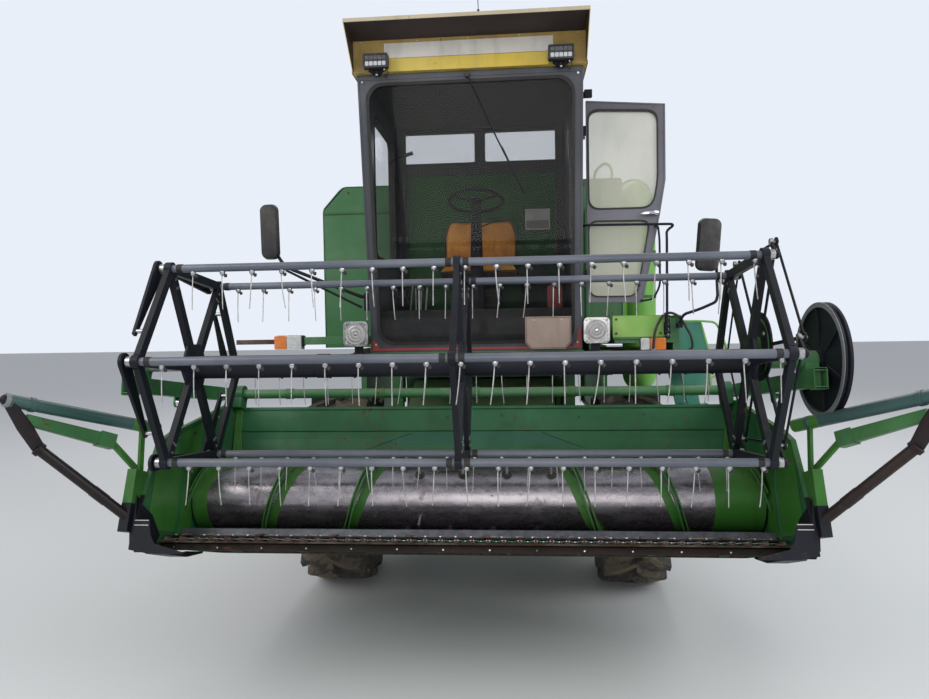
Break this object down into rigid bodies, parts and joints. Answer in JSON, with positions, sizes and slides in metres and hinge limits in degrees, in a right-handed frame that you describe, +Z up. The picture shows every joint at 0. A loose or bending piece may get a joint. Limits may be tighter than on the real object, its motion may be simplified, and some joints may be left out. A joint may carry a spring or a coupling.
{
  "type": "combine harvester",
  "caption": "Self-propelled combine harvester with raised grain header, pickup reel with hanging tines, add-on cab, grain tank and rear-wheel steering.",
  "frame": {"origin": "ground level under the middle of the machine's length and width", "axes": "+Z up, -Y towards the header at the front, +X to the machine's left"},
  "size_m": [3.8942, 7.1544, 3.6403],
  "materials": {
    "green_paint": "faded green paint with rust at the edges",
    "black_paint": "black paint",
    "grey_paint": "dark grey paint",
    "bat_paint": "blue grey paint on tubes",
    "yellow_paint": "yellow paint, dulled",
    "worn_steel": "bare steel polished by the crop",
    "rusty_steel": "rusty steel",
    "chrome_steel": "bright plating",
    "tyre": "dusty rubber",
    "glass": "tinted glass",
    "seat_vinyl": "cracked orange vinyl",
    "black_plastic": "matt black plastic",
    "lamp_plastic": "orange and clear lenses"
  },
  "bodies": {
    "machine": {"chassis_frame": "green_paint", "front_axle": "green_paint", "threshing_body": "green_paint", "cleaning_shoe": "green_paint", "straw_hood": "green_paint", "grain_tank": "green_paint", "engine_block": "black_paint", "engine_cover": "green_paint", "engine_stacks": "black_paint", "cab_frame": "grey_paint", "cab_roof": "yellow_paint", "windscreen": "glass", "cab_windows": "glass", "platform": "green_paint", "ladder": "green_paint", "handrails": "black_paint", "seat_cushion": "seat_vinyl", "seat_base": "black_paint", "steering_column": "black_plastic", "control_levers": "chrome_steel", "headlamps": "chrome_steel", "work_lamps": "black_plastic", "indicator_arms": "lamp_plastic", "mirrors": "black_plastic", "side_shields": "green_paint", "grain_elevator": "green_paint", "auger_turret": "green_paint", "rear_axle": "green_paint"},
    "lid": {"tank_lid": "green_paint"},
    "swing_auger": {"unloading_auger": "green_paint"},
    "door": {"cab_door": "grey_paint", "door_glass": "glass"},
    "left_knuckle": {"knuckle_left": "green_paint"},
    "right_knuckle": {"knuckle_right": "green_paint"},
    "track_rod": {"tie_rod": "grey_paint"},
    "left_front_wheel": {"front_wheel_left": "tyre"},
    "right_front_wheel": {"front_wheel_right": "tyre"},
    "left_rear_wheel": {"rear_wheel_left": "tyre"},
    "right_rear_wheel": {"rear_wheel_right": "tyre"},
    "header": {"feeder_house": "green_paint", "header_body": "green_paint", "crop_dividers": "green_paint", "cutter_bar": "rusty_steel"},
    "lift_cylinders": {"lift_barrels": "black_paint"},
    "lift_pistons": {"lift_rods": "chrome_steel"},
    "sickle": {"knife": "worn_steel"},
    "table_auger": {"auger_tube": "worn_steel", "auger_flights": "green_paint"},
    "arms": {"reel_arms": "green_paint"},
    "reel_cylinders": {"reel_lift_barrels": "black_paint"},
    "reel_pistons": {"reel_lift_rods": "chrome_steel"},
    "reel": {"reel_rotor": "black_paint"},
    "star": {"control_star": "black_paint"},
    "reel_bat_1": {"bat_1": "bat_paint"},
    "reel_bat_2": {"bat_2": "bat_paint"},
    "reel_bat_3": {"bat_3": "bat_paint"},
    "reel_bat_4": {"bat_4": "bat_paint"},
    "reel_bat_5": {"bat_5": "bat_paint"},
    "reel_bat_6": {"bat_6": "bat_paint"}
  },
  "joints": [
    {"name": "front_wheel_left_roll", "type": "hinge", "parent": "machine", "child": "left_front_wheel", "pos_m": [1.06, -1.12125, 0.71], "axis": [1, 0, 0], "continuous": true},
    {"name": "front_wheel_right_roll", "type": "hinge", "parent": "machine", "child": "right_front_wheel", "pos_m": [-1.06, -1.12125, 0.71], "axis": [1, 0, 0], "continuous": true},
    {"name": "steer_left", "type": "hinge", "parent": "machine", "child": "left_knuckle", "pos_m": [0.7, 2.02875, 0.42], "axis": [0, 0, 1], "range_deg": [-35, 35]},
    {"name": "steer_right", "type": "hinge", "parent": "machine", "child": "right_knuckle", "pos_m": [-0.7, 2.02875, 0.42], "axis": [0, 0, 1], "range_deg": [-35, 35]},
    {"name": "tie_rod_pivot", "type": "hinge", "parent": "left_knuckle", "child": "track_rod", "pos_m": [0.7, 2.17875, 0.38], "axis": [0, 0, 1], "range_deg": [-35, 35]},
    {"name": "rear_wheel_left_roll", "type": "hinge", "parent": "left_knuckle", "child": "left_rear_wheel", "pos_m": [0.93, 2.02875, 0.42], "axis": [1, 0, 0], "continuous": true},
    {"name": "rear_wheel_right_roll", "type": "hinge", "parent": "right_knuckle", "child": "right_rear_wheel", "pos_m": [-0.93, 2.02875, 0.42], "axis": [1, 0, 0], "continuous": true},
    {"name": "cab_door_hinge", "type": "hinge", "parent": "machine", "child": "door", "pos_m": [0.688, -1.97125, 2.64], "axis": [0, 0, 1], "range_deg": [0, 90]},
    {"name": "tank_lid_hinge", "type": "hinge", "parent": "machine", "child": "lid", "pos_m": [0, 0.54075, 3.016], "axis": [-1, 0, 0], "range_deg": [0, 80]},
    {"name": "unloading_auger_swing", "type": "hinge", "parent": "machine", "child": "swing_auger", "pos_m": [1.225, -0.77125, 2.72], "axis": [0, 0, -1], "range_deg": [0, 95]},
    {"name": "header_lift", "type": "hinge", "parent": "machine", "child": "header", "pos_m": [0, -1.07125, 1.25], "axis": [-1, 0, 0], "range_deg": [-21, 2]},
    {"name": "lift_cylinder_tilt", "type": "hinge", "parent": "machine", "child": "lift_cylinders", "pos_m": [0, -1.29125, 0.59], "axis": [1, 0, 0], "range_deg": [-45, 45]},
    {"name": "lift_cylinder_stroke", "type": "slide", "parent": "lift_cylinders", "child": "lift_pistons", "axis": [0, -0.9997, -0.0263], "range_m": [-0.3, 0.1]},
    {"name": "auger_spin", "type": "hinge", "parent": "header", "child": "table_auger", "pos_m": [0, -2.48886, 0.93383], "axis": [1, 0, 0], "continuous": true},
    {"name": "knife_stroke", "type": "slide", "parent": "header", "child": "sickle", "axis": [1, 0, 0], "range_m": [-0.0381, 0.0381]},
    {"name": "reel_lift", "type": "hinge", "parent": "header", "child": "arms", "pos_m": [0, -2.01197, 1.4839], "axis": [-1, 0, 0], "range_deg": [0, 16]},
    {"name": "reel_cylinder_tilt", "type": "hinge", "parent": "header", "child": "reel_cylinders", "pos_m": [0, -2.60674, 1.0193], "axis": [1, 0, 0], "range_deg": [-10, 10]},
    {"name": "reel_cylinder_stroke", "type": "slide", "parent": "reel_cylinders", "child": "reel_pistons", "axis": [0, -0.0192, 0.9998], "range_m": [-0.01, 0.25]},
    {"name": "reel_spin", "type": "hinge", "parent": "arms", "child": "reel", "pos_m": [0, -2.99142, 1.71375], "axis": [1, 0, 0], "continuous": true},
    {"name": "control_star_spin", "type": "hinge", "parent": "arms", "child": "star", "pos_m": [0, -2.92778, 1.77739], "axis": [1, 0, 0], "continuous": true},
    {"name": "bat_1_turn", "type": "hinge", "parent": "reel", "child": "reel_bat_1", "pos_m": [0, -3.51056, 1.76832], "axis": [1, 0, 0], "continuous": true},
    {"name": "bat_2_turn", "type": "hinge", "parent": "reel", "child": "reel_bat_2", "pos_m": [0, -3.20374, 2.19062], "axis": [1, 0, 0], "continuous": true},
    {"name": "bat_3_turn", "type": "hinge", "parent": "reel", "child": "reel_bat_3", "pos_m": [0, -2.6846, 2.13606], "axis": [1, 0, 0], "continuous": true},
    {"name": "bat_4_turn", "type": "hinge", "parent": "reel", "child": "reel_bat_4", "pos_m": [0, -2.47228, 1.65919], "axis": [1, 0, 0], "continuous": true},
    {"name": "bat_5_turn", "type": "hinge", "parent": "reel", "child": "reel_bat_5", "pos_m": [0, -2.7791, 1.23688], "axis": [1, 0, 0], "continuous": true},
    {"name": "bat_6_turn", "type": "hinge", "parent": "reel", "child": "reel_bat_6", "pos_m": [0, -3.29825, 1.29144], "axis": [1, 0, 0], "continuous": true}
  ],
  "couplings": [
    {"joint": "steer_right", "follows": "steer_left", "ratio": 1},
    {"joint": "tie_rod_pivot", "follows": "steer_left", "ratio": -1},
    {"joint": "lift_cylinder_tilt", "follows": "header_lift", "ratio": -1.5464},
    {"joint": "lift_cylinder_stroke", "follows": "header_lift", "m_per_rad": 0.58679},
    {"joint": "reel_cylinder_tilt", "follows": "reel_lift", "ratio": -0.14449},
    {"joint": "reel_cylinder_stroke", "follows": "reel_lift", "m_per_rad": 0.5977},
    {"joint": "control_star_spin", "follows": "reel_spin", "ratio": 1},
    {"joint": "bat_1_turn", "follows": "reel_spin", "ratio": -1},
    {"joint": "bat_2_turn", "follows": "reel_spin", "ratio": -1},
    {"joint": "bat_3_turn", "follows": "reel_spin", "ratio": -1},
    {"joint": "bat_4_turn", "follows": "reel_spin", "ratio": -1},
    {"joint": "bat_5_turn", "follows": "reel_spin", "ratio": -1},
    {"joint": "bat_6_turn", "follows": "reel_spin", "ratio": -1}
  ]
}
